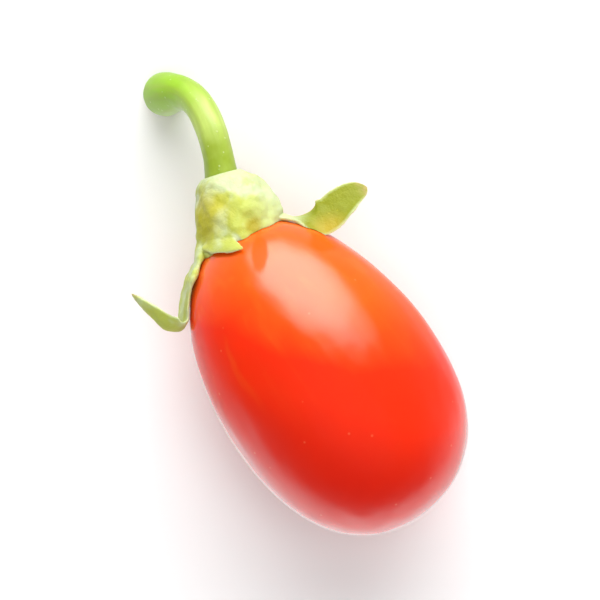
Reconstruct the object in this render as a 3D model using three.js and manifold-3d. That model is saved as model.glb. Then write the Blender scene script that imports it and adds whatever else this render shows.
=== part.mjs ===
// A goji berry as picked: the fruit lies on its side, with its calyx and its stalk still on.
// Millimetres, +Z up. The origin is the centre of the small flat spot that the fruit rests on,
// and +X runs along the fruit towards its stalk.

import * as THREE from "three";
import { mergeVertices } from "three/addons/utils/BufferGeometryUtils.js";
import Module from "manifold-3d";

const wasm = await Module();
wasm.setup();

// Driving dimensions.

// The fruit's outline is a smooth egg. At a turn t from its stalk end to its blossom end, with
// c = cos t and s = sin t, the place along the axis is a polynomial in c, and the radius is s
// times another. Each list holds the factors of 1, c, c * c and so on.
const EGG_ALONG = [0.856, 8.952, 0.224, -0.082];
const EGG_RADIUS = [5.879, -0.449, 0.626];
const WIDEST_RADIUS = 5.9; // at x = 0
const SCAR_RADIUS = 0.5; // the dimple that the flower's style left at the blossom end
const SCAR_DEPTH = 0.12;
const FLAT_DEPTH = 0.23; // how much the fruit flattens where it rests
const AXIS_HEIGHT = WIDEST_RADIUS - FLAT_DEPTH;

const GAP = 0.3; // between neighbouring pieces

const DOME_CENTRE = new THREE.Vector3(10.76, -1.32, AXIS_HEIGHT);
const DOME_YAW = 19; // degrees that the calyx leans from the fruit's axis, towards -Y
const DOME_TOP = 1.85; // from the dome's centre to the step that the stalk rises from
const DOME_BASE = -2.2;
const DOME_TOP_RADIUS = 1.12;
const DOME_RADIUS = 2.2;
const DOME_BASE_RADIUS = 2.4;
const STALK_OFFSET = 0.3; // how far the stalk stands to the +Y side of the dome's axis
const LOBE_THICKNESS = 0.36;
const LOBE_LIFT = GAP + LOBE_THICKNESS / 2; // from the fruit's skin to the middle of a lobe

const STALK_RADIUS = 0.8;
const STALK_FOOT_RADIUS = 1.2; // the swollen end that parted from the twig
const STALK_FOOT_LENGTH = 4.6;
const STALK_COLLAR_RADIUS = 0.9; // where the stalk widens into the calyx
const STALK_COLLAR_LENGTH = 1.2;

const FRUIT_SEGMENTS = 64;
const FRUIT_RINGS = 36;
const DOME_SEGMENTS = 40;
const DOME_RINGS = 14;
const LOBE_SEGMENTS = [14, 26]; // round a lobe, and along it
const STALK_SEGMENTS = 20;
const STALK_RINGS = 36;

const DEGREE = Math.PI / 180;

// Solids.

function solidOf(geometry) {
  const bare = new THREE.BufferGeometry();
  bare.setAttribute("position", geometry.getAttribute("position"));
  bare.setIndex(geometry.getIndex());
  const merged = mergeVertices(bare, 1e-4);
  return new wasm.Manifold(
    new wasm.Mesh({
      numProp: 3,
      vertProperties: merged.getAttribute("position").array,
      triVerts: new Uint32Array(merged.getIndex().array),
    }),
  );
}

function geometryOf(solid) {
  const mesh = solid.getMesh();
  const geometry = new THREE.BufferGeometry();
  geometry.setAttribute("position", new THREE.BufferAttribute(mesh.vertProperties, 3));
  geometry.setIndex(new THREE.BufferAttribute(mesh.triVerts, 1));
  geometry.computeVertexNormals();
  return geometry;
}

function piece(name, solid, color, roughness) {
  const material = new THREE.MeshStandardMaterial({ color, roughness, metalness: 0 });
  const mesh = new THREE.Mesh(geometryOf(solid), material);
  mesh.name = name;
  return mesh;
}

// Everything below the surface that the berry rests on.
function underground() {
  const size = 80;
  return solidOf(new THREE.BoxGeometry(size, size, size).translate(0, 0, -size / 2));
}

// Moves every vertex of a geometry by place(point), which changes the point.
function reshape(geometry, place) {
  const position = geometry.getAttribute("position");
  const point = new THREE.Vector3();
  for (let i = 0; i < position.count; i += 1) {
    place(point.fromBufferAttribute(position, i));
    position.setXYZ(i, point.x, point.y, point.z);
  }
  return geometry;
}

// The fruit.

function polynomial(factors, c) {
  return factors.reduce((sum, factor, power) => sum + factor * c ** power, 0);
}

// The outline's point at a turn in degrees: its radius, and its place along the axis.
function eggPoint(turn) {
  const c = Math.cos(turn * DEGREE);
  const s = Math.sin(turn * DEGREE);
  return new THREE.Vector2(s * polynomial(EGG_RADIUS, c), polynomial(EGG_ALONG, c));
}

// The same point moved out by lift, square to the skin.
function liftedEggPoint(turn, lift) {
  const step = 0.01;
  const after = eggPoint(turn + step);
  const along = after.sub(eggPoint(turn - step)).normalize();
  return eggPoint(turn).add(new THREE.Vector2(-along.y, along.x).multiplyScalar(lift));
}

function fruitGeometry(grown = 0) {
  const outline = [];
  for (let i = FRUIT_RINGS; i >= 0; i -= 1) {
    const point = liftedEggPoint((180 * i) / FRUIT_RINGS, grown);
    if (i === 0 || i === FRUIT_RINGS) point.x = 0;
    outline.push(point);
  }
  const geometry = new THREE.LatheGeometry(outline, FRUIT_SEGMENTS);
  return geometry.rotateZ(-Math.PI / 2).translate(0, 0, AXIS_HEIGHT);
}

function berry() {
  const dimpled = reshape(fruitGeometry(), (point) => {
    const away = Math.hypot(point.y, point.z - AXIS_HEIGHT) / SCAR_RADIUS;
    if (point.x < 0) point.x += SCAR_DEPTH * Math.exp(-away * away);
  });
  return piece("berry", solidOf(dimpled).subtract(underground()), 0xf23517, 0.3);
}

// The calyx.

// A point by its place along the fruit's axis, its distance from the axis, and its azimuth about
// it in degrees, where 0 is up and 90 is +Y.
function roundAxis(along, radius, azimuth) {
  const turn = azimuth * DEGREE;
  return new THREE.Vector3(along, radius * Math.sin(turn), AXIS_HEIGHT + radius * Math.cos(turn));
}

function besideFruit(turn, azimuth, lift = LOBE_LIFT) {
  const point = liftedEggPoint(turn, lift);
  return roundAxis(point.y, point.x, azimuth);
}

// The level direction round the fruit at an azimuth.
function roundwards(azimuth) {
  return new THREE.Vector3(0, Math.cos(azimuth * DEGREE), -Math.sin(azimuth * DEGREE));
}

// Every lobe springs from inside the dome's wall, over the fruit's stalk end.
function lobeRoot(azimuth) {
  return besideFruit(8, azimuth, 0.9);
}

// A lobe that lies against the fruit, from its root to its tip at a turn of the outline.
function huggingLobe(azimuth, tipTurn, width) {
  const across = roundwards(azimuth);
  const neck = 19;
  const spine = [
    lobeRoot(azimuth),
    besideFruit(neck, azimuth),
    besideFruit((neck + tipTurn) / 2, azimuth),
    besideFruit(tipTurn, azimuth),
  ];
  return { spine, acrossBase: across, acrossTip: across, width };
}

const FRONT_LOBE = huggingLobe(-1, 33, 2.2);
const BACK_LOBES = [huggingLobe(150, 41, 2.9), huggingLobe(-151, 42, 2.8)];

// The lobe that follows the fruit's left shoulder and then curls back away from it.
const CURLED_LOBE = {
  spine: [
    lobeRoot(80),
    besideFruit(19, 80),
    besideFruit(30, 82),
    besideFruit(38, 82),
    roundAxis(7.5, 4.6, 82),
    roundAxis(7.8, 5, 83),
    roundAxis(8.8, 5.35, 85),
    roundAxis(10.3, 5.75, 87),
  ],
  acrossBase: roundwards(80),
  acrossTip: new THREE.Vector3(-0.2, 0.6, -0.77),
  width: 2.1,
};

// The lobe that stands out from the right shoulder, twisted so that its inner face looks up.
const STANDING_LOBE = {
  spine: [
    lobeRoot(-78),
    besideFruit(20, -78),
    besideFruit(32, -84),
    besideFruit(40, -88),
    roundAxis(7.3, 4.8, -89),
    roundAxis(7.6, 5.5, -89),
    roundAxis(7.82, 6.4, -88),
    roundAxis(7.65, 7.35, -88),
  ],
  acrossBase: roundwards(-80),
  acrossTip: new THREE.Vector3(0.93, 0.15, 0.35),
  width: 2,
};

// One lobe: a flattened ball bent along its spine, wide across it and thin through it.
function lobeSolid({ spine, acrossBase, acrossTip, width }) {
  const curve = new THREE.CatmullRomCurve3(spine, false, "centripetal");
  const across = new THREE.Vector3();
  const through = new THREE.Vector3();
  const bent = reshape(new THREE.SphereGeometry(1, ...LOBE_SEGMENTS), (point) => {
    const along = THREE.MathUtils.clamp((1 + point.y) / 2, 0, 1);
    const tangent = curve.getTangentAt(along);
    across.lerpVectors(acrossBase, acrossTip, along);
    across.addScaledVector(tangent, -across.dot(tangent)).normalize();
    through.crossVectors(tangent, across);
    const sideways = (point.z * width) / 2;
    const outwards = (point.x * LOBE_THICKNESS) / 2;
    point.copy(curve.getPointAt(along));
    point.addScaledVector(across, sideways).addScaledVector(through, outwards);
  });
  return solidOf(bent);
}

function domeSolid() {
  const side = new THREE.SplineCurve([
    new THREE.Vector2(DOME_BASE_RADIUS, DOME_BASE),
    new THREE.Vector2(2.36, -1.2),
    new THREE.Vector2(DOME_RADIUS, -0.1),
    new THREE.Vector2(1.93, 0.9),
    new THREE.Vector2(1.6, 1.45),
    new THREE.Vector2(DOME_TOP_RADIUS, DOME_TOP),
  ]);
  const axisBase = new THREE.Vector2(0, DOME_BASE);
  const axisTop = new THREE.Vector2(0, DOME_TOP);
  const outline = [axisBase, ...side.getPoints(DOME_RINGS), axisTop];
  const geometry = new THREE.LatheGeometry(outline, DOME_SEGMENTS);
  geometry.rotateZ(-Math.PI / 2 - DOME_YAW * DEGREE);
  geometry.translate(...DOME_CENTRE);
  return solidOf(geometry);
}

function calyx() {
  const lobes = [FRONT_LOBE, ...BACK_LOBES, CURLED_LOBE, STANDING_LOBE];
  let solid = domeSolid();
  for (const lobe of lobes) solid = solid.add(lobeSolid(lobe));
  return piece("calyx", solid.subtract(solidOf(fruitGeometry(GAP))), 0xd3d968, 0.7);
}

// The stalk.

const DOME_AXIS = new THREE.Vector3(Math.cos(DOME_YAW * DEGREE), -Math.sin(DOME_YAW * DEGREE), 0);
const DOME_LEFT = new THREE.Vector3(-DOME_AXIS.y, DOME_AXIS.x, 0);

const STALK_START = DOME_CENTRE.clone()
  .addScaledVector(DOME_AXIS, DOME_TOP + GAP)
  .addScaledVector(DOME_LEFT, STALK_OFFSET);

// The stalk arches away from the dome and comes down to the surface. Each step is from its start.
const STALK_STEPS = [
  [0, 0, 0],
  [1, -0.53, 0],
  [2.4, -0.96, -0.35],
  [3.6, -1.06, -1.15],
  [4.45, -0.76, -2.35],
  [4.95, -0.26, -3.75],
  [5.25, 0.14, -5.3],
];
const STALK_LINE = new THREE.CatmullRomCurve3(
  STALK_STEPS.map((step) => new THREE.Vector3(...step).add(STALK_START)),
  false,
  "centripetal",
);

function stalkRadius(distance, length) {
  const collar = Math.max(1 - distance / STALK_COLLAR_LENGTH, 0);
  const foot = Math.max(1 - (length - distance) / STALK_FOOT_LENGTH, 0);
  return (
    STALK_RADIUS +
    (STALK_COLLAR_RADIUS - STALK_RADIUS) * collar * collar +
    (STALK_FOOT_RADIUS - STALK_RADIUS) * THREE.MathUtils.smoothstep(foot, 0, 1)
  );
}

function stalk() {
  const length = STALK_LINE.getLength();
  const outline = [new THREE.Vector2(0, 0)];
  for (let i = 0; i <= STALK_RINGS; i += 1) {
    const distance = (length * i) / STALK_RINGS;
    outline.push(new THREE.Vector2(stalkRadius(distance, length), distance));
  }
  outline.push(new THREE.Vector2(0, length));
  const frames = STALK_LINE.computeFrenetFrames(STALK_RINGS);
  const bent = reshape(new THREE.LatheGeometry(outline, STALK_SEGMENTS), (point) => {
    const share = THREE.MathUtils.clamp(point.y / length, 0, 1);
    const frame = Math.round(share * STALK_RINGS);
    const normal = frames.normals[frame].clone().multiplyScalar(point.x);
    const binormal = frames.binormals[frame].clone().multiplyScalar(-point.z);
    point.copy(STALK_LINE.getPointAt(share)).add(normal).add(binormal);
  });
  return piece("pedicel", solidOf(bent).subtract(underground()), 0x9bc33a, 0.6);
}

const goji = new THREE.Group();
goji.add(berry(), calyx(), stalk());
export default goji;
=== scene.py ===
"""A goji berry as picked, lying on its side: the glossy fruit, its green calyx and its stalk."""

import math

import bpy
import numpy as np
from bpy.props import FloatProperty, FloatVectorProperty, IntProperty, PointerProperty
from mathutils import Color, Matrix, Vector, kdtree, noise


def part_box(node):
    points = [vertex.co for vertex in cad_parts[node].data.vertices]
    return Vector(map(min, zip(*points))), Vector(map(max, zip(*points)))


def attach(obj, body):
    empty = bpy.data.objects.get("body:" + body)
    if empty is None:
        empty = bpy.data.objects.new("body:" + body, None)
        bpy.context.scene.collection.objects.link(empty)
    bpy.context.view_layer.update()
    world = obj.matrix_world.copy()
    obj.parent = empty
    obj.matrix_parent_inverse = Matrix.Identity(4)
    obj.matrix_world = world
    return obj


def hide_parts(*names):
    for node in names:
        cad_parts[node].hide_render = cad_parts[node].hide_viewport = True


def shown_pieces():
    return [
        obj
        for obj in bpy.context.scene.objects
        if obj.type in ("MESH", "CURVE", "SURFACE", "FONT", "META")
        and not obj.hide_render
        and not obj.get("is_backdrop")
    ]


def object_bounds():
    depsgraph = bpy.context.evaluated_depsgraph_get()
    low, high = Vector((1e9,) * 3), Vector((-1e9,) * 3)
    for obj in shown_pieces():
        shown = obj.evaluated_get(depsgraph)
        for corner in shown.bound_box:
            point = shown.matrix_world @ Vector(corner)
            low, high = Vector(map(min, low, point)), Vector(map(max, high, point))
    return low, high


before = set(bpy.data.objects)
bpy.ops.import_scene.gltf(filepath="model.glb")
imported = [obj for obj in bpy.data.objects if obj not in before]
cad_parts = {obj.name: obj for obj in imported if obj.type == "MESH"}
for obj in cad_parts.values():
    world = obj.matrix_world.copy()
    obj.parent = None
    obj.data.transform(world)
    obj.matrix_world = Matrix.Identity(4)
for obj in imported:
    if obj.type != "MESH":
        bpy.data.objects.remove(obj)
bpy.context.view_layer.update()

bl_info = {
    "name": "Goji Berry",
    "version": (1, 0, 0),
    "blender": (4, 5, 0),
    "location": "View3D > Sidebar > Goji",
    "description": "Builds a goji berry with its calyx and stalk on a pale floor",
    "category": "Add Mesh",
}

MM = 0.001

# The fruit's outline, in shares of its widest radius. At a turn t from its stalk end, with
# c = cos t and s = sin t, the place along the axis is a polynomial in c, and the radius is s
# times another.
EGG_ALONG = (0.1451, 1.5173, 0.038, -0.0139)
EGG_RADIUS = (0.9964, -0.0761, 0.1061)

# Lengths are in millimetres, apart from those that say metres.
FRUIT_LOW, FRUIT_HIGH = (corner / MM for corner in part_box("berry"))
FRUIT_RADIUS = (FRUIT_HIGH.y - FRUIT_LOW.y) / 2
AXIS_HEIGHT = FRUIT_HIGH.z - FRUIT_RADIUS
STALK_END = FRUIT_HIGH.x
UP = np.array([0.0, 0.0, 1.0])

DOME_YAW = math.radians(19)  # the calyx leans from the fruit's axis, towards -Y
DOME_AXIS = np.array([math.cos(DOME_YAW), -math.sin(DOME_YAW), 0.0])
DOME_LEFT = np.array([math.sin(DOME_YAW), math.cos(DOME_YAW), 0.0])
DOME_CENTRE = np.array([STALK_END + 0.81, -1.32, AXIS_HEIGHT])
DOME_TOP = 1.85
DOME_SKEW = 0.3  # how far its top stands to the left
SOCKET_RADIUS = 0.96  # the stalk stands in a shallow socket in the cup's top
SOCKET_FLOOR = 1.5
BLUSH = DOME_CENTRE + 1.6 * DOME_LEFT + 1.4 * UP  # the middle of its ochre blush
NOTCH = (STALK_END - 0.55, -1.5, AXIS_HEIGHT + 2.2)  # in the cup's edge, beside the tooth
FLAP_FOOT = (STALK_END - 3.15, -4.5, AXIS_HEIGHT + 1.0)  # where the standing lobe leaves the skin
VOXEL = 0.055  # the grain at which the cup and its lobes melt together
LOBE_FADE = 0.35  # the distance over which tissue beside a lobe stops counting as part of it

KEY_WAY = (0.694, -0.558, 0.455)  # towards the large soft light
PANEL_WAY = (-0.707, 0.707, 0.0)  # towards the brighter side of the floor
FILL_WAY = (-0.35, 0.1, 1.0)  # towards the fill
VIEW_RIGHT = (-0.579, -0.815, 0.0)  # the way that lies to the right in the view
FLOOR_SIZE = 3.0  # metres
WALL_RADIUS = 1.4  # metres
WALL_HEIGHT = 2.0  # metres

# Oval spots of painted shadow and reflection, cast on the skin by the tooth and the standing lobe:
# centre, the way they lie, half their length and half their width.
LOBE_SHADE_SPOTS = (
    ((STALK_END - 1.95, -0.9), (-0.815, 0.579), 1.0, 0.45),
    ((STALK_END - 3.25, -3.95), (-0.707, -0.707), 0.8, 0.6),
)


# Node trees.


class Bench:
    """Adds nodes to one tree and joins them up."""

    def __init__(self, tree):
        self.tree = tree

    def add(self, kind, inputs=None, **settings):
        node = self.tree.nodes.new(kind)
        for name, value in settings.items():
            setattr(node, name, value)
        self.fill(node, inputs or {})
        return node

    def fill(self, node, inputs):
        for key, value in inputs.items():
            self.feed(node.inputs[key], value)

    def feed(self, socket, value):
        if isinstance(value, bpy.types.Node):
            value = value.outputs[0]
        if isinstance(value, bpy.types.NodeSocket):
            self.tree.links.new(value, socket)
        elif isinstance(value, Color):
            socket.default_value = (*value, 1.0)
        else:
            socket.default_value = value

    def math(self, operation, *values, clamp=False):
        made = self.add("ShaderNodeMath", operation=operation, use_clamp=clamp)
        for socket, value in zip(made.inputs, values):
            self.feed(socket, value)
        return made.outputs[0]

    def times(self, product, *others):
        """The product of all the values."""
        for other in others:
            product = self.math("MULTIPLY", product, other)
        return product

    def vector(self, operation, *values):
        made = self.add("ShaderNodeVectorMath", operation=operation)
        for socket, value in zip(made.inputs, values):
            self.feed(socket, value)
        one_number = operation in ("LENGTH", "DISTANCE", "DOT_PRODUCT")
        return made.outputs["Value" if one_number else "Vector"]

    def scaled(self, vector, factor):
        inputs = {"Vector": vector, "Scale": factor}
        return self.add("ShaderNodeVectorMath", inputs, operation="SCALE").outputs["Vector"]

    def mapped(self, vector, scale):
        return self.add("ShaderNodeMapping", {"Vector": vector, "Scale": scale}).outputs[0]

    def millimetres(self):
        """The place on the piece, in millimetres."""
        return self.mapped(self.add("ShaderNodeTexCoord").outputs["Object"], (1 / MM,) * 3)

    def attribute(self, name, output="Fac"):
        return self.add("ShaderNodeAttribute", attribute_name=name).outputs[output]

    def split(self, vector):
        return self.add("ShaderNodeSeparateXYZ", {"Vector": vector}).outputs

    def joined(self, x, y, z):
        return self.add("ShaderNodeCombineXYZ", {"X": x, "Y": y, "Z": z}).outputs[0]

    def polynomial(self, factors, value):
        """factors[0] + factors[1] * value + factors[2] * value ** 2 and so on."""
        total = factors[-1]
        for factor in reversed(factors[:-1]):
            total = self.math("MULTIPLY_ADD", value, total, factor)
        return total

    def eased(self, value, start, end, low=0.0, high=1.0):
        """low at start and high at end, with a smooth step between."""
        made = self.add("ShaderNodeMapRange", {"Value": value}, interpolation_type="SMOOTHSTEP")
        for socket, number in zip(made.inputs[1:5], (start, end, low, high)):
            self.feed(socket, number)
        return made.outputs[0]

    def noise(self, vector, scale, detail=2.0):
        """A noise value, from about 0 to 1."""
        inputs = {"Vector": vector, "Scale": scale, "Detail": detail}
        return self.add("ShaderNodeTexNoise", inputs).outputs[0]

    def centred_noise(self, vector, scale, detail=2.0):
        return self.math("SUBTRACT", self.noise(vector, scale, detail), 0.5)

    def specks(self, place, scale, draw, least, full, none):
        """1 in the middle of scattered specks, which fade between the distances full and none.

        A cell has a speck where its random number, draw, is above least.
        """
        cells = self.add("ShaderNodeTexVoronoi", {"Vector": place, "Scale": scale})
        chosen = self.math("GREATER_THAN", self.split(cells.outputs["Color"])[draw], least)
        return self.times(self.eased(cells.outputs["Distance"], full, none, 1.0, 0.0), chosen)

    def bump(self, relief, strength, depth):
        inputs = {"Height": relief, "Strength": strength, "Distance": depth * MM}
        return self.add("ShaderNodeBump", inputs)

    def mix(self, factor, a, b):
        """Two colours mixed. The node's colour sockets are its inputs 6 and 7 and its output 2."""
        return self.add("ShaderNodeMix", {"Factor": factor, 6: a, 7: b}, data_type="RGBA").outputs[2]

    def ramp(self, factor, stops):
        made = self.add("ShaderNodeValToRGB", {"Fac": factor})
        elements = made.color_ramp.elements
        while len(elements) < len(stops):
            elements.new(0.5)
        for element, (place, colour) in zip(elements, stops):
            element.position = place
            element.color = (*colour, 1.0)
        return made.outputs[0]


def grey(level):
    return (level, level, level, 1.0)


def new_material(name):
    """A material, the bench for its nodes and the shader that they feed."""
    material = bpy.data.materials.new(name)
    material.use_nodes = True
    return material, Bench(material.node_tree), material.node_tree.nodes["Principled BSDF"]


# Meshes.


def shape_tree(name, floats):
    """A geometry tree with one named input for each size, and the bench to fill it at."""
    tree = bpy.data.node_groups.new(name, "GeometryNodeTree")
    tree.interface.new_socket("Geometry", in_out="INPUT", socket_type="NodeSocketGeometry")
    tree.interface.new_socket("Geometry", in_out="OUTPUT", socket_type="NodeSocketGeometry")
    for label in floats:
        tree.interface.new_socket(label, in_out="INPUT", socket_type="NodeSocketFloat")
    bench = Bench(tree)
    return bench, bench.add("NodeGroupInput").outputs


def finish_tree(bench, geometry, material):
    smooth = bench.add("GeometryNodeSetShadeSmooth", {"Geometry": geometry})
    realized = bench.add("GeometryNodeRealizeInstances", {"Geometry": smooth})
    painted = bench.add("GeometryNodeSetMaterial", {"Geometry": realized, "Material": material})
    bench.add("NodeGroupOutput", {"Geometry": painted})


def applied(obj):
    """The object's mesh with its modifiers applied. The object itself is removed."""
    graph = bpy.context.evaluated_depsgraph_get()
    mesh = bpy.data.meshes.new_from_object(obj.evaluated_get(graph), depsgraph=graph)
    bpy.data.objects.remove(obj)
    return mesh


def placed(name, data):
    obj = bpy.data.objects.new(name, data)
    bpy.context.scene.collection.objects.link(obj)
    return obj


def grow(name, host_data, bench, sizes):
    """Runs the tree on an object and turns the result into a plain mesh object."""
    host = placed(name + "_host", host_data)
    modifier = host.modifiers.new("Shape", "NODES")
    modifier.node_group = bench.tree
    for item in bench.tree.interface.items_tree:
        if item.in_out == "INPUT" and item.name in sizes:
            modifier[item.identifier] = sizes[item.name]
    host.update_tag()
    mesh = applied(host)
    mesh.name = name
    return placed(name, mesh)


def mesh_of(name, points, faces):
    mesh = bpy.data.meshes.new(name)
    mesh.from_pydata(np.asarray(points).tolist(), [], faces)
    mesh.update()
    return mesh


def triples(collection, name):
    values = np.empty(len(collection) * 3)
    collection.foreach_get(name, values)
    return values.reshape(-1, 3)


def points_of(mesh):
    return triples(mesh.vertices, "co")


def normals_of(mesh):
    return triples(mesh.vertex_normals, "vector")


def move_points(mesh, points):
    mesh.vertices.foreach_set("co", np.asarray(points).ravel())
    mesh.update()


def store(mesh, name, values):
    attribute = mesh.attributes.new(name, "FLOAT", "POINT")
    attribute.data.foreach_set("value", np.asarray(values, dtype=np.float32))


def finish_piece(obj, node):
    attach(obj, "root")
    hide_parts(node)


# The fruit.


def egg_points(turns):
    """The outline at turns in degrees: places along the axis and radii, in millimetres."""
    c, s = np.cos(np.radians(turns)), np.sin(np.radians(turns))
    along = sum(factor * c**power for power, factor in enumerate(EGG_ALONG))
    radius = s * sum(factor * c**power for power, factor in enumerate(EGG_RADIUS))
    return FRUIT_RADIUS * along, FRUIT_RADIUS * radius


def lobe_shade_spot(bench, place, centre, way, half_length, half_width):
    """1 inside an oval seen from above, fading to 0 round it."""
    offset = bench.vector("SUBTRACT", place, (*centre, AXIS_HEIGHT))
    down = bench.vector("DOT_PRODUCT", offset, (way[0], way[1], 0.0))
    across = bench.vector("DOT_PRODUCT", offset, (way[1], -way[0], 0.0))
    down = bench.math("DIVIDE", down, half_length)
    across = bench.math("DIVIDE", across, half_width)
    distance = bench.vector("LENGTH", bench.joined(down, across, 0.0))
    ragged = bench.math("MULTIPLY_ADD", bench.centred_noise(place, 1.5), 0.5, distance)
    upper = bench.math("GREATER_THAN", bench.split(offset)[2], 0.0)
    return bench.times(bench.eased(ragged, 0.7, 1.15, 1.0, 0.0), upper)


def skin_material(settings):
    material, bench, shader = new_material("Fruit skin")
    place = bench.millimetres()
    along, sideways, height = bench.split(place)

    # The red deepens from the shoulders to the blossom end, in soft uneven patches, which is the fruit's
    # own colour. The shoulders' orange is also pushed towards the -Y side, which faces the large soft
    # light: that part is painted light.
    patches = bench.centred_noise(place, 0.22, 3.0)
    right = bench.math("SMOOTH_MIN", bench.times(sideways, -1.0), 2.8, 2.0)
    shoulder_and_lit_side = bench.math("MULTIPLY_ADD", right, 1.2, along)
    ripeness_and_light = bench.math("MULTIPLY_ADD", patches, 0.3, bench.eased(shoulder_and_lit_side, -9.0, 9.5))
    base = bench.ramp(
        ripeness_and_light,
        [
            (0.0, settings.tip_colour),
            (0.4, settings.middle_colour),
            (0.65, settings.middle_colour),
            (1.0, settings.shoulder_and_lit_colour),
        ],
    )

    # Faint streaks run down from the calyx.
    lengthways = bench.mapped(place, (0.1, 1.0, 1.0))
    streaks = bench.eased(bench.noise(lengthways, 1.1, 3.0), 0.52, 0.75)
    streaked = bench.times(streaks, bench.eased(along, -2.0, 8.5), 0.14)
    base = bench.mix(streaked, base, settings.streak_colour)

    # Sparse pale specks, where the skin's pores show.
    speck = bench.specks(place, 1.15, draw=0, least=0.62, full=0.04, none=0.11)
    base = bench.mix(bench.times(speck, 0.18), base, settings.speck_colour)

    # Beside the tooth and below the standing lobe the skin has a painted shadow and reflection of those
    # lobes: a deeper orange, and less gloss.
    spots = [lobe_shade_spot(bench, place, *spot) for spot in LOBE_SHADE_SPOTS]
    lobe_shade = bench.math("MAXIMUM", *spots)
    base = bench.mix(bench.times(lobe_shade, 0.7), base, settings.lobe_shade_colour)

    # Painted shade in the gloss: the coat and specular are cut down on the shoulders' sides and near the
    # floor, which takes their reflections away there.
    left_side = bench.times(bench.eased(sideways, 1.0, 3.4), bench.eased(along, 0.0, 3.5))
    right_side = bench.times(bench.eased(sideways, -2.8, -4.6), bench.eased(along, -6.0, -3.0))
    upper = bench.eased(height, AXIS_HEIGHT - 1.5, AXIS_HEIGHT + 0.5, 0.0, 0.85)
    gloss_shade = bench.times(bench.math("MAXIMUM", left_side, right_side), upper)
    gloss_shade = bench.math("MAXIMUM", gloss_shade, bench.eased(height, 2.6, 0.6))
    gloss_cut = bench.times(bench.math("MAXIMUM", lobe_shade, gloss_shade), 0.85)
    left_on = bench.math("SUBTRACT", 1.0, gloss_cut)

    # Low dents with a fine grain over them.
    shine = bench.centred_noise(place, 0.9, 3.0)
    grain = bench.noise(place, 7.0, 3.0)
    relief = bench.math("MULTIPLY_ADD", grain, 0.12, bench.noise(place, 0.75))
    bench.fill(
        shader,
        {
            "Base Color": base,
            "Roughness": bench.math("MULTIPLY_ADD", shine, 0.08, settings.roughness),
            "IOR": 1.5,
            "Normal": bench.bump(relief, 0.35, 0.06),
            "Specular IOR Level": bench.times(left_on, 0.5),
            "Subsurface Weight": settings.translucency,
            "Subsurface Radius": (1.0, 0.16, 0.05),
            "Subsurface Scale": 1.2 * MM,
            "Coat Weight": bench.times(left_on, settings.wax),
            "Coat Roughness": 0.1,
            "Coat IOR": 1.5,
        },
    )
    return material


def fruit_tree(material):
    bench, sizes = shape_tree(
        "Fruit shape",
        ["Radius", "Axis Height", "Ripple", "Scar Radius", "Scar Depth", "Resting Edge", "Divisions"],
    )
    count = sizes["Divisions"]
    cube = bench.add("GeometryNodeMeshCube", {"Size": (2.0, 2.0, 2.0)})
    for axis in "XYZ":
        bench.feed(cube.inputs["Vertices " + axis], count)

    # A cube's points spread evenly over a ball.
    corner = bench.add("GeometryNodeInputPosition")
    evened = bench.vector("TANGENT", bench.scaled(corner, math.pi / 4))
    ball = bench.vector("NORMALIZE", evened)
    lengthwise, left, above = bench.split(ball)

    # The ball becomes the egg, with slow ripples and faint ribs along it.
    ripple = bench.centred_noise(ball, 1.7)
    ribs = bench.centred_noise(bench.vector("MULTIPLY", ball, (0.35, 1.0, 1.0)), 3.4, 1.0)
    uneven = bench.times(bench.math("MULTIPLY_ADD", ribs, 0.35, ripple), sizes["Ripple"])
    radius = bench.math("ADD", sizes["Radius"], uneven)
    along = bench.times(bench.polynomial(EGG_ALONG, lengthwise), radius)
    girth = bench.times(bench.polynomial(EGG_RADIUS, lengthwise), radius)

    # The style's scar is a dimple at the blossom end, with a low lip round it.
    out = bench.math("SQRT", bench.math("MULTIPLY_ADD", above, above, bench.times(left, left)))
    away = bench.math("DIVIDE", bench.times(out, sizes["Radius"]), sizes["Scar Radius"])
    square = bench.times(away, away)
    pit = bench.math("EXPONENT", bench.times(square, -1.0))
    lip = bench.times(square, pit, 0.45)
    dimple = bench.times(bench.math("SUBTRACT", pit, lip), sizes["Scar Depth"])
    blossom = bench.math("LESS_THAN", lengthwise, 0.0)
    along = bench.math("MULTIPLY_ADD", dimple, blossom, along)

    # It flattens a little where it rests.
    height = bench.math("MULTIPLY_ADD", above, girth, sizes["Axis Height"])
    rested = bench.math("SMOOTH_MAX", height, 0.0, sizes["Resting Edge"])
    rested = bench.math("MAXIMUM", rested, 0.0)
    place = bench.joined(along, bench.times(left, girth), rested)
    shaped = bench.add("GeometryNodeSetPosition", {"Geometry": cube, "Position": place})
    finish_tree(bench, shaped, material)
    return bench


# The calyx, which is worked in millimetres and brought to size at the end.


def beside_fruit(turn, azimuth, lift):
    """A point off the fruit's skin. Azimuth 0 is above the axis and 90 is on its +Y side."""
    near = np.array([turn - 0.1, turn, turn + 0.1])
    (before, here, after), (inner, radius, outer) = egg_points(near)
    slope = np.array([after - before, outer - inner])
    slope /= np.linalg.norm(slope)
    return round_axis(here + lift * slope[1], radius - lift * slope[0], azimuth)


def round_axis(along, radius, azimuth):
    angle = math.radians(azimuth)
    return np.array([along, radius * math.sin(angle), AXIS_HEIGHT + radius * math.cos(angle)])


def roundwards(azimuth):
    return np.array([0.0, math.cos(math.radians(azimuth)), -math.sin(math.radians(azimuth))])


def eased(value, start, end):
    share = np.clip((value - start) / (end - start), 0, 1)
    return share * share * (3 - 2 * share)


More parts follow.
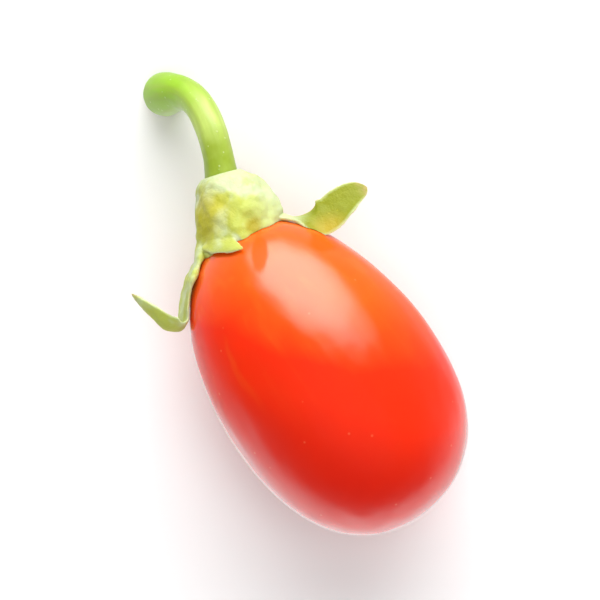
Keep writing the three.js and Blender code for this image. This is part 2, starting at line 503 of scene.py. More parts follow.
def smooth_line(points, count):
    """Evenly spaced points on a smooth line through the given ones."""
    points = np.array(points, float)
    at = np.concatenate(([0.0], np.cumsum(np.linalg.norm(np.diff(points, axis=0), axis=1))))
    slope = np.gradient(points, at, axis=0)
    dense = np.linspace(0.0, at[-1], 40 * len(points))
    i = np.clip(np.searchsorted(at, dense, side="right") - 1, 0, len(at) - 2)
    span = (at[i + 1] - at[i])[:, None]
    t = (dense - at[i])[:, None] / span
    line = (
        (2 * t**3 - 3 * t**2 + 1) * points[i]
        + (t**3 - 2 * t**2 + t) * span * slope[i]
        + (3 * t**2 - 2 * t**3) * points[i + 1]
        + (t**3 - t**2) * span * slope[i + 1]
    )
    run = np.concatenate(([0.0], np.cumsum(np.linalg.norm(np.diff(line, axis=0), axis=1))))
    wanted = np.linspace(0.0, run[-1], count)
    return np.stack([np.interp(wanted, run, line[:, k]) for k in range(3)], axis=1)


def tube_faces(rings, around):
    """Quads round a stack of rings, whose two ends are closed by fans to two more points."""
    faces = []
    for low in range(0, (rings - 1) * around, around):
        high = low + around
        for j in range(around):
            k = (j + 1) % around
            faces.append((low + j, low + k, high + k, high + j))
    first, last, top = rings * around, rings * around + 1, (rings - 1) * around
    for j in range(around):
        k = (j + 1) % around
        faces.append((first, k, j))
        faces.append((last, top + j, top + k))
    return faces


class Lobe:
    """One lobe of the calyx: a thin blade bent along its spine."""

    RINGS = 70
    AROUND = 36
    RAGGED = 0.12  # how far its outline wanders, as a share of its width
    NARROW = 0.45  # how wide it is at its root, as a share of what it could be
    THINNING = 0.45  # how much thinner its tip is than its root
    RIM = 0.5  # how much its margins are thickened

    def __init__(
        self,
        spine,
        across,
        width,
        thickness,
        vivid,
        cup=(3.0, 3.0),
        taper=(1.7, 0.8),
        twist=(0, 1),
        neck=(0, 0.3),
    ):
        self.spine = spine
        self.across = across  # the ways that it is wide, at its root and its tip
        self.width = width
        self.thickness = thickness
        self.vivid = vivid  # how yellow-green it is, from 0 to 1
        self.cup = cup  # the radius that the blade is curved to across, at its root and its tip
        self.taper = taper  # the powers that its outline narrows by
        self.twist = twist  # the shares of its length between which it turns
        self.neck = neck  # the shares of its length between which it widens

    def solid(self, seed):
        line = smooth_line(self.spine, self.RINGS)
        tangent = np.gradient(line, axis=0)
        tangent /= np.linalg.norm(tangent, axis=1)[:, None]
        u = np.linspace(0.0, 1.0, self.RINGS)[:, None]
        turned = eased(u, *self.twist)
        across = (1 - turned) * self.across[0] + turned * self.across[1]
        across -= (across * tangent).sum(1)[:, None] * tangent
        across /= np.linalg.norm(across, axis=1)[:, None]
        through = np.cross(tangent, across)
        power, blunt = self.taper
        wander = [noise.noise(Vector((7.0 * x, 2.7 * seed, 0.4))) for x in u[:, 0]]
        half = self.width / 2 * (1 - np.clip(u, 0, 0.999) ** power) ** blunt
        half *= 1 + self.RAGGED * np.array(wander)[:, None]
        half *= self.NARROW + (1 - self.NARROW) * eased(u, *self.neck)
        thick = self.thickness / 2 * (1 - self.THINNING * u)
        angle = np.linspace(0.0, 2 * math.pi, self.AROUND, endpoint=False)[None, :]
        side = half * np.cos(angle)
        rim = 1 + self.RIM * np.abs(np.cos(angle)) ** 6
        face = thick * np.sin(angle) * rim * np.minimum(1, half / 0.25)
        curve = (1 - u) / self.cup[0] + u / self.cup[1]
        bowed = face + side**2 * curve / 2
        points = (
            line[:, None, :]
            + side[:, :, None] * across[:, None, :]
            + bowed[:, :, None] * through[:, None, :]
        )
        points = np.concatenate([points.reshape(-1, 3), line[:1], line[-1:]])
        edge = np.concatenate([np.repeat(np.abs(np.cos(angle)), self.RINGS, 0).ravel(), [0, 1]])
        along = np.concatenate([np.repeat(u, self.AROUND, 1).ravel(), [0, 1]])
        return points, tube_faces(self.RINGS, self.AROUND), edge, along


def calyx_lobes(thickness):
    """The calyx's five lobes."""
    lift = 0.05 + thickness / 2

    def hugging(azimuths, tip_turn, width, **shape):
        first, middle, last = azimuths
        spine = [
            beside_fruit(8, first, 0.9),
            beside_fruit(18, first, lift + 0.1),
            beside_fruit((18 + tip_turn) / 2, middle, lift),
            beside_fruit(tip_turn, last, lift),
        ]
        return Lobe(spine, (roundwards(first), roundwards(last)), width, thickness, **shape)

    tooth = hugging((10, 2, -8), 32.5, 2.5, vivid=0.1, taper=(1.2, 1.0))
    behind = hugging((156, 158, 160), 41.0, 2.8, vivid=0.3, taper=(1.5, 0.8))
    below = hugging((-148, -152, -150), 42.0, 3.0, vivid=0.3, taper=(1.6, 0.8))
    curled = Lobe(
        [
            beside_fruit(8, 78, 0.8),
            beside_fruit(19, 80, lift),
            beside_fruit(30, 82, lift),
            beside_fruit(40, 82, lift),
            round_axis(STALK_END - 2.6, 4.45, 82),
            round_axis(STALK_END - 2.25, 4.95, 83),
            round_axis(STALK_END - 1.25, 5.3, 85),
            round_axis(STALK_END + 0.35, 5.7, 87),
        ],
        (roundwards(80), np.array([-0.2, 0.6, -0.77])),
        2.9,
        thickness,
        vivid=0.15,
        cup=(3.0, -1.6),
        taper=(1.5, 0.75),
    )
    standing = Lobe(
        [
            beside_fruit(8, -66, 0.8),
            beside_fruit(20, -72, lift),
            beside_fruit(29, -77, lift),
            beside_fruit(36, -80, lift + 0.02),
            round_axis(STALK_END - 2.23, 4.45, -81),
            round_axis(STALK_END - 2.35, 5.05, -82),
            round_axis(STALK_END - 2.23, 5.8, -84),
            round_axis(STALK_END - 2.17, 6.6, -86),
            round_axis(STALK_END - 2.27, 7.45, -87),
        ],
        (roundwards(-76), np.array([-0.86, -0.1, 0.5])),
        2.4,
        thickness,
        vivid=1.0,
        cup=(3.0, -1.5),
        taper=(6.0, 0.6),
        twist=(0.38, 0.62),
        neck=(0.4, 0.62),
    )
    return [tooth, curled, standing, behind, below]


def dome_solid():
    """The calyx's cup: rings of a radius at a distance along its axis, which skew to one side."""
    outline = [
        (2.4, -2.2, 0.15),
        (2.36, -1.2, 0.1),
        (2.2, -0.1, 0.05),
        (1.82, 0.9, 0.14),
        (1.44, 1.5, 0.26),
        (1.06, DOME_TOP, DOME_SKEW),
    ]
    socket = [
        (SOCKET_RADIUS, DOME_TOP, DOME_SKEW),
        (SOCKET_RADIUS, SOCKET_FLOOR, DOME_SKEW),
        (0.2, SOCKET_FLOOR, DOME_SKEW),
    ]
    side = np.concatenate([smooth_line(outline, 40), socket])
    around = 72
    angle = np.linspace(0.0, 2 * math.pi, around, endpoint=False)
    ring = np.cos(angle)[:, None] * DOME_LEFT + np.sin(angle)[:, None] * UP
    centres = [DOME_CENTRE + along * DOME_AXIS + skew * DOME_LEFT for _, along, skew in side]
    rings = [centre + radius * ring for centre, (radius, _, _) in zip(centres, side)]
    points = np.concatenate([*rings, centres[:1], centres[-1:]])
    return points, tube_faces(len(side), around)


def fused(solids, voxel):
    """Closed solids melted into one skin."""
    points, faces = [], []
    for solid_points, solid_faces in solids:
        start = sum(len(p) for p in points)
        points.append(solid_points)
        faces.extend(tuple(start + i for i in face) for face in solid_faces)
    rough = placed("Calyx_rough", mesh_of("Calyx_rough", np.concatenate(points), faces))
    remesh = rough.modifiers.new("Melt", "REMESH")
    remesh.mode = "VOXEL"
    remesh.voxel_size = voxel
    return applied(rough)


def relaxed(mesh, points, rounds):
    """Points drawn towards their neighbours and then pushed back, so thin blades don't shrink."""
    draw, push = 0.5, -0.52  # shares of the way to the middle of a point's neighbours
    edges = np.empty(len(mesh.edges) * 2, dtype=np.int64)
    mesh.edges.foreach_get("vertices", edges)
    a, b = edges.reshape(-1, 2).T
    count = np.bincount(edges, minlength=len(points))[:, None]
    for step in range(2 * rounds):
        total = np.zeros_like(points)
        for k in range(3):
            total[:, k] += np.bincount(a, points[b, k], len(points))
            total[:, k] += np.bincount(b, points[a, k], len(points))
        factor = push if step % 2 else draw
        points = points + factor * (total / count - points)
    return points


def less_the_fruit(mesh, fruit, gap):
    """The mesh without what lies in the fruit, or nearer to its skin than gap."""
    skin = fruit.data.copy()
    move_points(skin, points_of(skin) / MM + gap * normals_of(skin))
    cutter = placed("Fruit_cutter", skin)
    rough = placed("Calyx_rough", mesh)
    cut = rough.modifiers.new("Cut", "BOOLEAN")
    cut.operation = "DIFFERENCE"
    cut.solver = "MANIFOLD"
    cut.object = cutter
    made = applied(rough)
    bpy.data.objects.remove(cutter)
    return made


class LobeFinder:
    """Finds the point of a lobe that a place on the calyx is nearest to."""

    def __init__(self, lobes, blades):
        shades = [np.full(len(blade[0]), lobe.vivid) for lobe, blade in zip(lobes, blades)]
        self.vivid = np.concatenate(shades)
        points, _, edges, alongs = zip(*blades)
        self.edge, self.along = np.concatenate(edges), np.concatenate(alongs)
        self.tree = kdtree.KDTree(len(self.edge))
        for i, point in enumerate(np.concatenate(points)):
            self.tree.insert(point, i)
        self.tree.balance()

    def find(self, points):
        """The nearest lobe points, how far out along it each place is, and how surely on it."""
        hits = [self.tree.find(point) for point in points]
        index = np.array([hit[1] for hit in hits])
        distance = np.array([hit[2] for hit in hits])
        out = np.clip(1.4 - distance / LOBE_FADE, 0, 1) * self.along[index]
        return index, out, np.clip((out - 0.25) / 0.25, 0, 1)


def lumpy_points(mesh, finder, height):
    """The points with lumps on the cup and lower ones on the lobes."""
    points = points_of(mesh)
    _, _, on_lobe = finder.find(points)
    places = [Vector(point) for point in points]
    swell = np.array([noise.noise(place) + 0.35 * noise.noise(place * 2.4) for place in places])
    from_top = DOME_TOP - (points - DOME_CENTRE) @ DOME_AXIS
    weight = (1 - 0.75 * on_lobe) * eased(from_top, 0.0, 0.7)
    return points + normals_of(mesh) * (height * swell * weight)[:, None]


def mark_tissue(mesh, finder):
    """Stores where the tissue is a thin margin, vivid or dry, which its material reads."""
    index, out, on_lobe = finder.find(points_of(mesh))
    store(mesh, "margin", np.clip((finder.edge[index] - 0.82) / 0.18, 0, 1) * on_lobe)
    store(mesh, "vivid", finder.vivid[index] * eased(out, 0.38, 0.55))
    store(mesh, "dry", np.clip((out - 0.92) / 0.08, 0, 1))


def calyx_material(settings):
    material, bench, shader = new_material("Calyx tissue")
    place = bench.millimetres()
    vivid = bench.attribute("vivid")

    # Pale green tissue, creamier in soft patches.
    cloud = bench.noise(place, 0.7, 3.0)
    pale = bench.eased(cloud, 0.4, 0.62)
    base = bench.mix(pale, settings.tissue_colour, settings.cream_and_highlight_colour)
    mottle = bench.eased(bench.noise(place, 1.9, 3.0), 0.48, 0.7)
    base = bench.mix(bench.times(mottle, 0.15), base, settings.ochre_colour)

    # The cup has an ochre blush on its left, and on its right, the side towards the large soft light, a
    # painted highlight in cream.
    away = bench.vector("DISTANCE", place, tuple(BLUSH))
    blush = bench.eased(bench.math("MULTIPLY_ADD", cloud, 1.2, away), 1.1, 2.6, 0.8, 0.0)
    base = bench.mix(blush, base, settings.ochre_colour)
    offset = bench.vector("SUBTRACT", place, tuple(DOME_CENTRE))
    rightwards = bench.vector("DOT_PRODUCT", offset, tuple(-DOME_LEFT))
    right_highlight = bench.eased(rightwards, 0.2, 2.2, 0.0, 0.7)
    base = bench.mix(right_highlight, base, settings.cream_and_highlight_colour)

    # Painted shade in dark gold in the notch beside the tooth; a vivid lobe, with painted shade in gold
    # at its foot.
    notch = bench.eased(bench.vector("DISTANCE", place, NOTCH), 0.15, 0.65, 0.9, 0.0)
    base = bench.mix(notch, base, settings.notch_shade_colour)
    base = bench.mix(vivid, base, settings.vivid_colour)
    foot = bench.eased(bench.vector("DISTANCE", place, FLAP_FOOT), 0.3, 1.5, 0.75, 0.0)
    base = bench.mix(bench.times(foot, vivid), base, settings.lobe_foot_shade_colour)

    # Thin papery margins, and ends that have started to dry.
    base = bench.mix(bench.attribute("margin"), base, settings.cream_and_highlight_colour)
    withered = bench.eased(bench.noise(place, 4.0), 0.3, 0.6)
    dry = bench.times(bench.attribute("dry"), withered)
    base = bench.mix(dry, base, settings.dry_colour)

    # Small darker pores.
    pore = bench.specks(place, 2.4, draw=1, least=0.8, full=0.05, none=0.16)
    base = bench.mix(bench.times(pore, 0.5), base, settings.ochre_colour)

    grain = bench.noise(place, 9.0, 3.0)
    relief = bench.math("MULTIPLY_ADD", grain, 0.35, bench.noise(place, 2.6, 4.0))
    bench.fill(
        shader,
        {
            "Base Color": base,
            "Roughness": bench.eased(cloud, 0.3, 0.7, 0.68, 0.52),
            "Normal": bench.bump(relief, 0.6, 0.12),
            "Subsurface Weight": settings.translucency,
            "Subsurface Radius": (0.8, 1.0, 0.25),
            "Subsurface Scale": 0.5 * MM,
        },
    )
    return material


# The stalk.


def stalk_material(settings):
    material, bench, shader = new_material("Stalk tissue")
    place = bench.attribute("unbent", "Vector")
    distance = bench.split(place)[2]

    # Green deepens towards the swollen end, under pale fibres that run along it.
    stretched = bench.mapped(place, (1.0, 1.0, 0.12))
    threads = bench.noise(stretched, 3.0, 3.0)
    fibres = bench.eased(threads, 0.4, 0.7)
    cloud = bench.centred_noise(place, 0.8, 3.0)
    shade = bench.math("MULTIPLY_ADD", cloud, 0.5, bench.eased(distance, 0.0, 8.0))
    base = bench.ramp(
        shade,
        [
            (0.0, settings.pale_colour),
            (0.3, settings.green_colour),
            (0.85, settings.deep_colour),
        ],
    )
    base = bench.mix(bench.times(fibres, 0.4), base, settings.pale_colour)

    # Tiny pale pores.
    pore = bench.specks(place, 3.2, draw=0, least=0.55, full=0.08, none=0.2)
    base = bench.mix(bench.times(pore, 0.55), base, settings.pore_colour)

    # The dry scar at its foot.
    scar = bench.attribute("scar")
    bark = bench.mix(bench.noise(place, 3.0, 3.0), settings.scar_colour, settings.rind_colour)
    base = bench.mix(scar, base, bark)

    relief = bench.math("MULTIPLY_ADD", threads, 0.8, pore)
    bench.fill(
        shader,
        {
            "Base Color": base,
            "Roughness": bench.eased(scar, 0.0, 1.0, 0.34, 0.85),
            "Normal": bench.bump(relief, 0.5, 0.05),
            "Subsurface Weight": settings.translucency,
            "Subsurface Radius": (0.6, 1.0, 0.2),
            "Subsurface Scale": 0.5 * MM,
        },
    )
    return material


def stalk_line():
    """The line that the stalk follows, as a curve in metres."""
    start = DOME_CENTRE + (DOME_TOP + 0.03) * DOME_AXIS + DOME_SKEW * DOME_LEFT
    points = [
        start + (SOCKET_FLOOR + 0.05 - DOME_TOP) * DOME_AXIS,
        start + (1.25, -0.62, 0.0),
        start + (2.65, -1.05, -0.35),
        start + (3.85, -1.15, -1.15),
        start + (4.7, -0.85, -2.35),
        start + (5.2, -0.35, -3.75),
        start + (5.5, 0.05, -5.32),
    ]
    curve = bpy.data.curves.new("Stalk_line", "CURVE")
    curve.dimensions = "3D"
    curve.resolution_u = 32
    spline = curve.splines.new("BEZIER")
    spline.bezier_points.add(len(points) - 1)
    for knot, point in zip(spline.bezier_points, points):
        knot.co = Vector(point) * MM
        knot.handle_left_type = "AUTO"
        knot.handle_right_type = "AUTO"
    return curve


def stalk_tree(material):
    bench, sizes = shape_tree(
        "Stalk shape",
        [
            "Radius",
            "Collar Radius",
            "Collar Length",
            "Foot Radius",
            "Foot Length",
            "Foot Rounding",
            "Dish Depth",
            "Ripple",
            "Sides",
            "Segments",
        ],
    )
    line = bench.tree.nodes["Group Input"].outputs["Geometry"]
    length = bench.add("GeometryNodeCurveLength", {"Curve": line}).outputs[0]
    rod = bench.add("GeometryNodeMeshCylinder", {"Fill Segments": 10, "Radius": 1.0, "Depth": 1.0})
    rod.fill_type = "TRIANGLE_FAN"
    bench.feed(rod.inputs["Vertices"], sizes["Sides"])
    bench.feed(rod.inputs["Side Segments"], sizes["Segments"])
    across, over, level = bench.split(bench.add("GeometryNodeInputPosition"))
    share = bench.math("ADD", level, 0.5)
    distance = bench.times(share, length)
    left = bench.math("SUBTRACT", length, distance)

    # The radius: a collar at the calyx, and a swollen foot with a rounded rim.
    near = bench.math("DIVIDE", distance, sizes["Collar Length"])
    collar = bench.math("POWER", bench.math("SUBTRACT", 1.0, near, clamp=True), 2.0)
    swell = bench.eased(left, sizes["Foot Length"], 0.0)
    wider = bench.math("SUBTRACT", sizes["Collar Radius"], sizes["Radius"])
    fatter = bench.math("SUBTRACT", sizes["Foot Radius"], sizes["Radius"])
    radius = bench.math("MULTIPLY_ADD", collar, wider, sizes["Radius"])
    radius = bench.math("MULTIPLY_ADD", swell, fatter, radius)
    inside = bench.math("DIVIDE", left, sizes["Foot Rounding"])
    turned = bench.math("SUBTRACT", 1.0, inside, clamp=True)
    kept = bench.math("SUBTRACT", 1.0, bench.times(turned, turned, 0.45))
    radius = bench.times(radius, bench.math("SQRT", kept))

    # Low ridges run along it, and it is never quite round.
    millimetres = bench.math("DIVIDE", distance, MM)
    unbent = bench.joined(bench.times(across, 0.8), bench.times(over, 0.8), millimetres)
    stretched = bench.vector("MULTIPLY", unbent, (1.0, 1.0, 0.25))
    uneven = bench.times(bench.centred_noise(stretched, 1.6, 3.0), sizes["Ripple"])
    radius = bench.math("ADD", radius, uneven)

    # The foot's face is dished where it parted from the twig.
    outward = bench.math("ADD", bench.times(across, across), bench.times(over, over))
    at_end = bench.math("GREATER_THAN", share, 0.9999)
    dish = bench.times(bench.math("SUBTRACT", 1.0, outward, clamp=True), at_end)
    along = bench.math("SUBTRACT", distance, bench.times(dish, sizes["Dish Depth"]))

    # The rod bends to the line, and nothing goes below the floor.
    sample = bench.add("GeometryNodeSampleCurve", mode="LENGTH", use_all_curves=True)
    bench.fill(sample, {"Curves": line, "Length": along})
    tangent, normal = sample.outputs["Tangent"], sample.outputs["Normal"]
    side = bench.vector("CROSS_PRODUCT", tangent, normal)
    offset = bench.vector(
        "ADD",
        bench.scaled(normal, bench.times(across, radius)),
        bench.scaled(side, bench.times(over, radius)),
    )
    x, y, z = bench.split(bench.vector("ADD", sample.outputs["Position"], offset))
    place = bench.joined(x, y, bench.math("MAXIMUM", z, 0.0))
    shaped = rod
    for label, kind, value in (("unbent", "FLOAT_VECTOR", unbent), ("scar", "FLOAT", at_end)):
        shaped = bench.add("GeometryNodeStoreNamedAttribute", {"Geometry": shaped}, data_type=kind)
        bench.fill(shaped, {"Name": label, "Value": value})
    shaped = bench.add("GeometryNodeSetPosition", {"Geometry": shaped, "Position": place})
    finish_tree(bench, shaped, material)
    return bench


# What a user can change.


def colour(name, description, default):
    return FloatVectorProperty(
        name=name, description=description, default=default, subtype="COLOR", min=0, max=1, size=3
    )


def size(name, description, millimetres):
    return FloatProperty(name=name, description=description, default=millimetres * MM, unit="LENGTH")


def fraction(name, description, default):
    return FloatProperty(
        name=name, description=description, default=default, subtype="FACTOR", min=0, max=1
    )


def brightness(name, description, default):
    return FloatProperty(name=name, description=description, default=default, min=0)


class FruitSettings(bpy.types.PropertyGroup):
    tip_colour: colour("Blossom end", "The skin's deepest red, at the blossom end", (0.8, 0.016, 0.004))
    middle_colour: colour("Middle", "The skin's red round the middle", (0.9, 0.03, 0.005))
    # The shoulder colour also serves as painted light on the fruit's -Y side, which faces the large soft
    # light.
    shoulder_and_lit_colour: colour("Shoulder", "The skin's orange red at the calyx", (0.95, 0.125, 0.008))
    # A deep orange painted shadow and reflection of the tooth and the standing lobe on the skin.
    lobe_shade_colour: colour("Rubbed", "The deep orange where the bloom is rubbed off", (0.95, 0.1, 0.003))
    streak_colour: colour("Streaks", "The orange of the streaks below the calyx", (1.0, 0.27, 0.03))
    speck_colour: colour("Specks", "The pale colour of the pores", (1.0, 0.42, 0.2))
    ripple: size("Ripple", "How uneven the fruit's surface is", 0.16)
    resting_edge: size("Resting edge", "How softly the flat spot's edge turns up", 0.15)
    scar_radius: size("Scar radius", "Radius of the dimple at the blossom end", 0.42)
    scar_depth: size("Scar depth", "Depth of the dimple at the blossom end", 0.16)
    roughness: fraction("Roughness", "How blurred the skin's reflections are", 0.13)
    wax: fraction("Wax", "How much waxy bloom shines on the skin", 0.5)
    translucency: fraction("Translucency", "How much light spreads in the flesh", 0.25)
    divisions: IntProperty(name="Divisions", description="Points along each side of the cage", default=80)


class CalyxSettings(bpy.types.PropertyGroup):
    tissue_colour: colour("Tissue", "The calyx's pale yellow green", (0.51, 0.565, 0.1))
    # Cream serves for the real pale patches and margins, and for the painted highlight on the cup's right
    # side.
    cream_and_highlight_colour: colour("Cream", "The palest patches and the papery margins", (0.57, 0.65, 0.35))
    ochre_colour: colour("Ochre", "The darker ochre patches", (0.48, 0.43, 0.01))
    # Painted shade in the notch beside the tooth.
    notch_shade_colour: colour("Gold", "The dark gold in the notch beside the tooth", (0.4, 0.33, 0.01))
    vivid_colour: colour("Vivid", "The standing lobe's strong yellow green", (0.26, 0.29, 0.002))
    # Painted shade at the foot of the standing lobe.
    lobe_foot_shade_colour: colour("Lobe foot", "The gold at the foot of that lobe", (0.5, 0.36, 0.008))
    dry_colour: colour("Dry", "The drying ends of the lobes", (0.42, 0.32, 0.1))
    blade: size("Blade", "Thickness of the lobes", 0.3)
    gap: size("Gap", "Space between the calyx and the skin", 0.03)
    lumps: size("Lumps", "Height of the lumps on the cup", 0.22)
    translucency: fraction("Translucency", "How much light spreads in the tissue", 0.3)


class StalkSettings(bpy.types.PropertyGroup):
    pale_colour: colour("Pale", "The stalk's pale fibres and its calyx end", (0.31, 0.42, 0.035))
    green_colour: colour("Green", "The stalk's main green", (0.54, 0.69, 0.16))
    deep_colour: colour("Deep", "The green of the swollen foot", (0.3, 0.55, 0.002))
    pore_colour: colour("Pores", "The tiny pale pores", (0.7, 0.8, 0.4))
    scar_colour: colour("Scar", "The beige of the scar under the foot", (0.55, 0.42, 0.22))
    rind_colour: colour("Rind", "The brown round the scar", (0.26, 0.16, 0.06))
    radius: size("Radius", "Radius of the stalk's thin part", 0.8)
    collar: size("Collar", "Radius where it enters the calyx", 0.9)
    collar_length: size("Collar length", "How far the collar reaches along it", 1.2)
    foot: size("Foot", "Radius of the swollen foot", 1.18)
    foot_length: size("Foot length", "How far the swelling reaches along it", 4.6)
    foot_rounding: size("Foot rounding", "How far the foot's rim is rounded", 0.5)
    dish: size("Dish", "Depth of the dished scar under the foot", 0.3)
    ripple: size("Ripple", "Height of the low ridges along it", 0.12)
    translucency: fraction("Translucency", "How much light spreads in the tissue", 0.25)


class StageSettings(bpy.types.PropertyGroup):
    floor_colour: colour("Floor", "The pale floor", (0.93, 0.93, 0.93))
    key_level: brightness("Key", "Brightness of the large soft light", 5.1)
    key_core: fraction("Key core", "Cosine of the soft light's full part", 0.985)
    key_edge: fraction("Key edge", "Cosine of the soft light's faded edge", 0.71)
    fill_level: brightness("Fill", "Brightness of the fill from above", 1.9)
    under_level: brightness("Under", "Brightness of the floor in the gloss", 0.68)
    horizon_level: brightness("Horizon", "Brightness of the walls", 0.24)
    zenith_level: brightness("Zenith", "Brightness overhead", 0.06)
    lens: FloatProperty(
        name="Lens", description="The camera's focal length", default=180.0, unit="CAMERA"
    )
    frame_width: size("Frame", "Width of the view at the berry", 31)


# Operators.


class GOJI_OT_build_fruit(bpy.types.Operator):
    """Build the fruit from its egg-shaped outline"""

    bl_idname = "goji.build_fruit"
    bl_label = "Build Fruit"

    def execute(self, context):
        settings = context.scene.goji_fruit
        bench = fruit_tree(skin_material(settings))
        sizes = {
            "Radius": FRUIT_RADIUS * MM,
            "Axis Height": AXIS_HEIGHT * MM,
            "Ripple": settings.ripple,
            "Scar Radius": settings.scar_radius,
            "Scar Depth": settings.scar_depth,
            "Resting Edge": settings.resting_edge,
            "Divisions": float(settings.divisions),
        }
        fruit = grow("Fruit", bpy.data.meshes.new("Fruit_seed"), bench, sizes)
        finish_piece(fruit, "berry")
        return {"FINISHED"}


class GOJI_OT_build_calyx(bpy.types.Operator):
    """Build the calyx: a lumpy cup with five lobes, melted into one skin over the fruit"""

    bl_idname = "goji.build_calyx"
    bl_label = "Build Calyx"

    def execute(self, context):
        settings = context.scene.goji_calyx
        lobes = calyx_lobes(settings.blade / MM)
        blades = [lobe.solid(seed) for seed, lobe in enumerate(lobes)]
        finder = LobeFinder(lobes, blades)
        mesh = fused([dome_solid(), *[blade[:2] for blade in blades]], VOXEL)
        move_points(mesh, relaxed(mesh, points_of(mesh), 4))
        move_points(mesh, lumpy_points(mesh, finder, settings.lumps / MM))
        mesh = less_the_fruit(mesh, bpy.data.objects["Fruit"], settings.gap / MM)
        mark_tissue(mesh, finder)
        move_points(mesh, points_of(mesh) * MM)
        mesh.polygons.foreach_set("use_smooth", [True] * len(mesh.polygons))
        mesh.materials.clear()
        mesh.materials.append(calyx_material(settings))
        mesh.name = "Calyx"
        finish_piece(placed("Calyx", mesh), "calyx")
        return {"FINISHED"}


class GOJI_OT_build_stalk(bpy.types.Operator):
    """Build the stalk along its line, from the calyx to its swollen foot"""

    bl_idname = "goji.build_stalk"
    bl_label = "Build Stalk"

    def execute(self, context):
        settings = context.scene.goji_stalk
        bench = stalk_tree(stalk_material(settings))
        sizes = {
            "Radius": settings.radius,
            "Collar Radius": settings.collar,
            "Collar Length": settings.collar_length,
            "Foot Radius": settings.foot,
            "Foot Length": settings.foot_length,
            "Foot Rounding": settings.foot_rounding,
            "Dish Depth": settings.dish,
            "Ripple": settings.ripple,
            "Sides": 64.0,
            "Segments": 160.0,
        }
        finish_piece(grow("Stalk", stalk_line(), bench, sizes), "pedicel")
        return {"FINISHED"}


class GOJI_OT_set_stage(bpy.types.Operator):
    """Set the pale floor, the soft light and the camera"""

    bl_idname = "goji.set_stage"
    bl_label = "Set Stage"

    def execute(self, context):
        settings = context.scene.goji_stage
        set_floor(settings)
        set_backdrop()
        set_light(settings)
        set_camera(settings)
        return {"FINISHED"}


def set_floor(settings):
    half = FLOOR_SIZE / 2
    corners = [(-half, -half, 0), (half, -half, 0), (half, half, 0), (-half, half, 0)]
    floor = placed("Floor", mesh_of("Floor", corners, [(0, 1, 2, 3)]))
    material, bench, shader = new_material("Floor")
    tooth = bench.noise(bench.add("ShaderNodeTexCoord").outputs["Object"], 900.0)
    shade = bench.mix(bench.times(tooth, 0.03), settings.floor_colour, grey(0.8))
    bench.fill(shader, {"Base Color": shade, "Roughness": 0.9, "Specular IOR Level": 0.1})
    floor.data.materials.append(material)
    floor.visible_glossy = False
    floor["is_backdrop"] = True


def set_backdrop():
    """A pale wall all round, which only the camera sees."""
    around = 96
    turns = np.linspace(0.0, 2 * math.pi, around, endpoint=False)
    foot = [(WALL_RADIUS * math.cos(turn), WALL_RADIUS * math.sin(turn), 0.0) for turn in turns]
    top = [(x, y, WALL_HEIGHT) for x, y, _ in foot]
    faces = [(j, (j + 1) % around, (j + 1) % around + around, j + around) for j in range(around)]
    wall = placed("Backdrop", mesh_of("Backdrop", foot + top, faces))
    material, bench, shader = new_material("Backdrop")
    bench.fill(shader, {"Base Color": grey(0.0), "Specular IOR Level": 0.0})
    bench.fill(shader, {"Emission Color": grey(1.0), "Emission Strength": 1.0})
    wall.data.materials.append(material)
    for ray in ("diffuse", "glossy", "transmission", "volume_scatter", "shadow"):
        setattr(wall, "visible_" + ray, False)
    wall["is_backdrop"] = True


def set_light(settings):
    world = bpy.data.worlds.new("Studio")
    bpy.context.scene.world = world
    world.use_nodes = True
    bench = Bench(world.node_tree)
    way = bench.vector("NORMALIZE", bench.add("ShaderNodeTexCoord").outputs["Generated"])
    rise = bench.split(way)[2]

    # Dim walls that fade upwards.
    wall = bench.math("POWER", bench.math("SUBTRACT", 1.0, rise, clamp=True), 5.0)
    brighter = settings.horizon_level - settings.zenith_level
    level = bench.math("MULTIPLY_ADD", wall, brighter, settings.zenith_level)

    # The floor's glow, which comes from below the horizon and is stronger on one side.
    uneven = bench.math("MULTIPLY_ADD", bench.vector("DOT_PRODUCT", way, PANEL_WAY), 0.75, 1.0)
    under = bench.eased(rise, 0.05, -0.5, 0.0, settings.under_level)
    level = bench.math("MULTIPLY_ADD", under, uneven, level)

    # The large soft light.
    toward = bench.vector("DOT_PRODUCT", way, KEY_WAY)
    key = bench.eased(toward, settings.key_edge, settings.key_core, 0.0, settings.key_level)
    background = world.node_tree.nodes["Background"]
    bench.fill(background, {"Color": grey(1.0), "Strength": bench.math("ADD", level, key)})
    bpy.context.scene.view_settings.view_transform = "Standard"

    # A broad fill from above, which the gloss does not show.
    sun = bpy.data.lights.new("Fill", "SUN")
    sun.energy = settings.fill_level
    sun.angle = math.radians(70)
    fill = placed("Fill", sun)
    fill.rotation_euler = Vector(FILL_WAY).to_track_quat("Z", "Y").to_euler()
    fill.visible_glossy = False


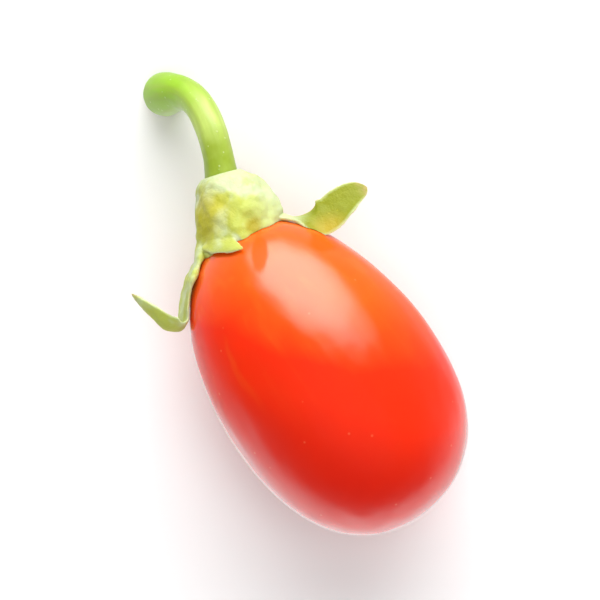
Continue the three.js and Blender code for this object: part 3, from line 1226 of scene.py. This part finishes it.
def set_camera(settings):
    """Looks straight down, with the stalk end to the upper left."""
    _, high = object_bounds()
    right = Vector(VIEW_RIGHT).normalized()
    up = Vector(UP).cross(right)
    corners = [v.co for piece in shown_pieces() for v in piece.data.vertices]
    across = [corner.dot(right) for corner in corners]
    upward = [corner.dot(up) for corner in corners]
    centre = right * (min(across) + max(across)) / 2 + up * (min(upward) + max(upward)) / 2
    view = bpy.data.cameras.new("Camera")
    view.lens = settings.lens
    view.clip_start = 0.001
    centre.z = high.z / 2 + settings.frame_width * view.lens / view.sensor_width
    turn = Matrix((right, up, right.cross(up))).transposed()
    camera = placed("Camera", view)
    camera.matrix_world = Matrix.Translation(centre) @ turn.to_4x4()
    bpy.context.scene.camera = camera


class GOJI_PT_panel(bpy.types.Panel):
    """Lists the settings and the build buttons"""

    bl_label = "Goji Berry"
    bl_idname = "GOJI_PT_panel"
    bl_space_type = "VIEW_3D"
    bl_region_type = "UI"
    bl_category = "Goji"

    def draw(self, context):
        for settings_name, operator, label in STEPS:
            box = self.layout.box()
            box.label(text=label)
            settings = getattr(context.scene, settings_name)
            for name in settings.bl_rna.properties.keys():
                if name not in ("rna_type", "name"):
                    box.prop(settings, name)
            box.operator(operator)


STEPS = (
    ("goji_fruit", "goji.build_fruit", "Fruit"),
    ("goji_calyx", "goji.build_calyx", "Calyx"),
    ("goji_stalk", "goji.build_stalk", "Stalk"),
    ("goji_stage", "goji.set_stage", "Stage"),
)
SETTINGS = (FruitSettings, CalyxSettings, StalkSettings, StageSettings)
CLASSES = (
    *SETTINGS,
    GOJI_OT_build_fruit,
    GOJI_OT_build_calyx,
    GOJI_OT_build_stalk,
    GOJI_OT_set_stage,
    GOJI_PT_panel,
)


def register():
    for cls in CLASSES:
        bpy.utils.register_class(cls)
    for (name, _, _), settings in zip(STEPS, SETTINGS):
        setattr(bpy.types.Scene, name, PointerProperty(type=settings))


def unregister():
    for name, _, _ in STEPS:
        delattr(bpy.types.Scene, name)
    for cls in reversed(CLASSES):
        bpy.utils.unregister_class(cls)


def main():
    register()
    bpy.ops.goji.build_fruit()
    bpy.ops.goji.build_calyx()
    bpy.ops.goji.build_stalk()
    bpy.ops.goji.set_stage()


if __name__ == "__main__":
    main()
